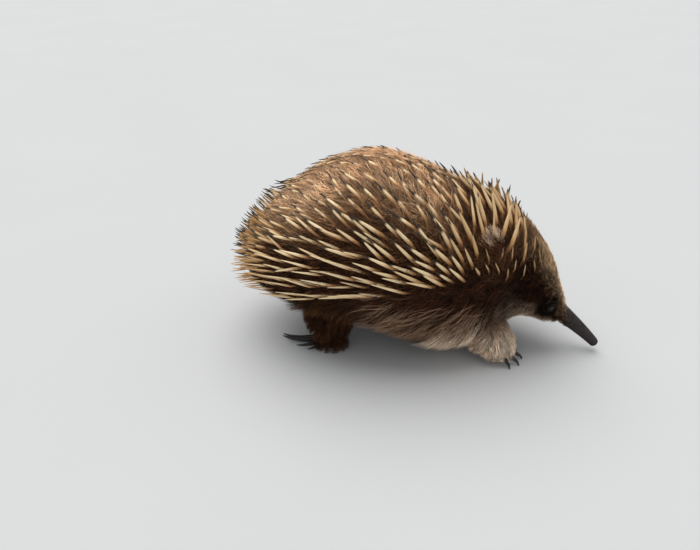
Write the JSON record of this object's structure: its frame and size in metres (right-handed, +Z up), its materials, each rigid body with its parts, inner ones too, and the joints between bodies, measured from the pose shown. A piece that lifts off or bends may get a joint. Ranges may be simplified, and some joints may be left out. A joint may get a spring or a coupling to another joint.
{
  "type": "echidna model",
  "caption": "Life-size model of a short-beaked echidna standing with its head low, spines and coat swept back, tube beak just off the ground.",
  "frame": {"origin": "middle of the animal's box, on the floor it stands on", "axes": "+X the way the animal faces, +Y its left side, +Z up"},
  "size_m": [0.4133, 0.2218, 0.2095],
  "materials": {
    "coat": "dense brown fur with cream, black-tipped spines",
    "spine": "smooth cream keratin with dark tips",
    "beak": "matt charcoal skin",
    "claw": "smooth dark horn",
    "eye": "wet, glossy"
  },
  "bodies": {
    "root": {"beak": "beak", "ear_left": "coat", "ear_right": "coat", "eye_left": "eye", "eye_right": "eye", "foreclaw_left_1": "claw", "foreclaw_left_2": "claw", "foreclaw_left_3": "claw", "foreclaw_left_4": "claw", "foreclaw_left_5": "claw", "foreclaw_right_1": "claw", "foreclaw_right_2": "claw", "foreclaw_right_3": "claw", "foreclaw_right_4": "claw", "foreclaw_right_5": "claw", "forefoot_left": "coat", "forefoot_right": "coat", "foreleg_left": "coat", "foreleg_right": "coat", "head": "coat", "hindclaw_left_1": "claw", "hindclaw_left_2": "claw", "hindclaw_left_3": "claw", "hindclaw_left_4": "claw", "hindclaw_left_5": "claw", "hindclaw_right_1": "claw", "hindclaw_right_2": "claw", "hindclaw_right_3": "claw", "hindclaw_right_4": "claw", "hindclaw_right_5": "claw", "hindfoot_left": "coat", "hindfoot_right": "coat", "hindleg_left": "coat", "hindleg_right": "coat", "neck": "coat", "tail": "coat", "torso": "coat"}
  },
  "joints": []
}
